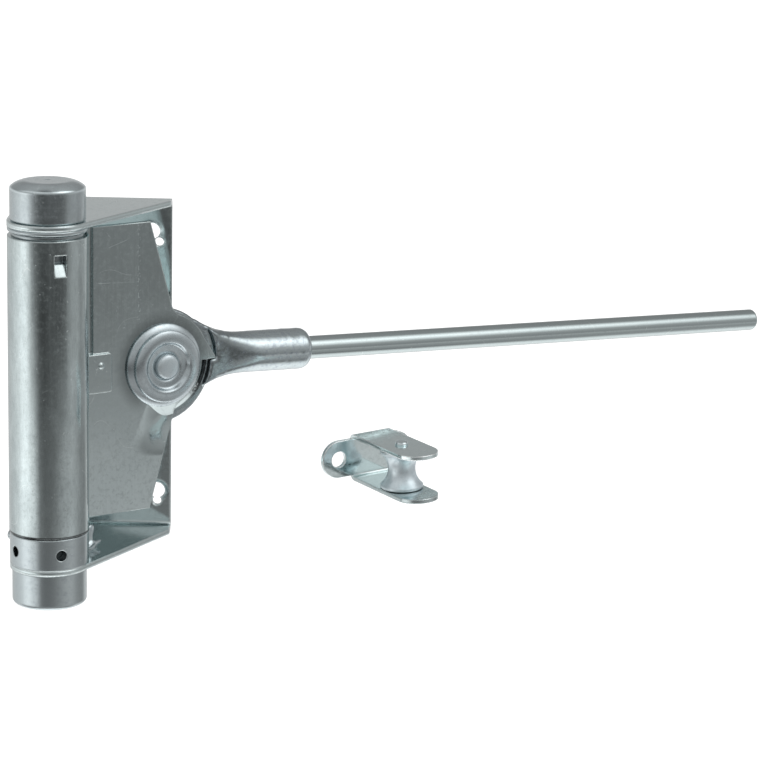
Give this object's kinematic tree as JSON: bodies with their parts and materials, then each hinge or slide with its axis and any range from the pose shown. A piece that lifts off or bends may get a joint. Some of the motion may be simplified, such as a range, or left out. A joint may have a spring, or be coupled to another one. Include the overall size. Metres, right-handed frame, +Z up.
{
  "type": "spring gate closer",
  "caption": "Spring gate closer: folded post bracket with an upright spring barrel, a swinging leaf, a riveted forged arm with a round rod, and a clevis roller for the gate.",
  "frame": {"origin": "on the back plate's mounting face, straight behind the barrel's axis, at the bracket's mid height", "axes": "X runs right along the back plate as seen from the front, Y points into the post, Z is up along the barrel"},
  "size_m": [0.3092, 0.2248, 0.161],
  "materials": {
    "zinc_plate": "zinc-plated sheet steel, bright with fine scratches",
    "zinc_turned": "zinc-plated turned steel, fine turning marks",
    "zinc_cast": "zinc-plated forged steel, grainy",
    "zinc_dark": "plated steel inside the barrel, dull",
    "spring_steel": "oiled spring wire, dark"
  },
  "bodies": {
    "bracket": {"back_bracket": "zinc_plate", "tension_collar": "zinc_turned", "collar_weld": "zinc_cast", "upper_cap": "zinc_turned", "thrust_washer": "zinc_turned", "roller_bracket": "zinc_plate", "roller_axle": "zinc_turned"},
    "barrel": {"barrel_leaf": "zinc_plate", "upper_spring_plug": "zinc_dark", "lower_bush": "zinc_dark", "torsion_spring": "spring_steel", "pivot_rivet": "zinc_turned", "pivot_base_washer": "zinc_turned", "pivot_cup_washer": "zinc_plate", "rivet_washer": "zinc_turned"},
    "arm": {"arm_socket": "zinc_cast", "arm_rod": "zinc_turned"},
    "tension": {"tension_plug": "zinc_turned"},
    "pin": {"tension_pin": "zinc_turned"},
    "wheel": {"roller": "zinc_turned"}
  },
  "joints": [
    {"name": "leaf_swing", "type": "hinge", "parent": "bracket", "child": "barrel", "pos_m": [0, -0.052, 0], "axis": [0, 0, 1], "range_deg": [-180, 3], "stiffness_Nm_per_rad": 3, "deforming": ["torsion_spring"]},
    {"name": "arm_tilt", "type": "hinge", "parent": "barrel", "child": "arm", "pos_m": [0.04019, -0.01866, 0.0044], "axis": [0.5563, -0.831, 0], "range_deg": [-38, 0.5]},
    {"name": "tension_turn", "type": "hinge", "parent": "bracket", "child": "tension", "pos_m": [0, -0.052, 0], "axis": [0, 0, 1], "range_deg": [0, 180], "deforming": ["torsion_spring"]},
    {"name": "pin_push", "type": "slide", "parent": "bracket", "child": "pin", "axis": [0.766, -0.6428, 0], "range_m": [0, 0.0045]},
    {"name": "roller_spin", "type": "hinge", "parent": "bracket", "child": "wheel", "pos_m": [0.1322, -0.0433, -0.0277], "axis": [-0.0336, -0.0207, 0.9992], "continuous": true}
  ]
}
